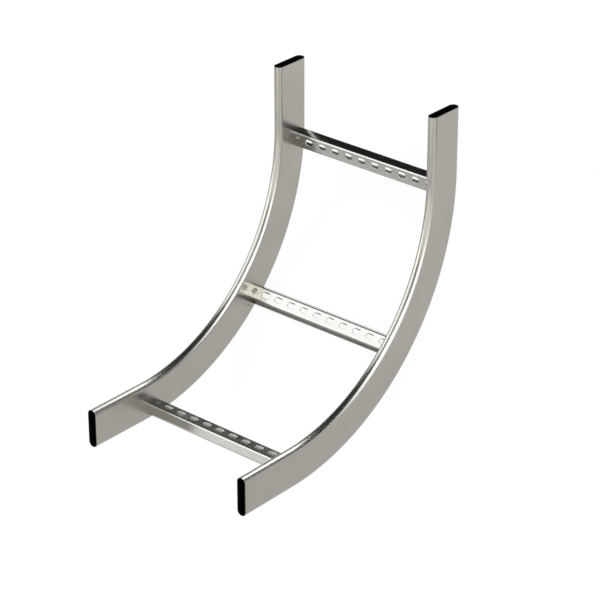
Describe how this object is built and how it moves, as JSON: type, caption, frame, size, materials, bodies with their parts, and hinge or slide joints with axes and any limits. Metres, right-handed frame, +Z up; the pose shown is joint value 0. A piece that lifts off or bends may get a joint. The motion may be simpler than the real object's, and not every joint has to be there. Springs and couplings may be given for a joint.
{
  "type": "cable ladder vertical bend",
  "caption": "Right-angle inside bend of a cable ladder: curved flat-oval tube side rails joined by slotted channel rungs, turning a cable run from level to upright.",
  "frame": {"origin": "on the ground under the middle of the bend, midway between the rails", "axes": "+X along the run towards the upper end, +Y across it towards the left rail, +Z up, towards the centre of the bend"},
  "size_m": [0.6506, 0.3, 0.2186],
  "materials": {
    "rail_steel": "satin",
    "rung_steel": "satin"
  },
  "bodies": {
    "root": {"left_side_rail": "rail_steel", "right_side_rail": "rail_steel", "lower_rung": "rung_steel", "middle_rung": "rung_steel", "upper_rung": "rung_steel"}
  },
  "joints": []
}
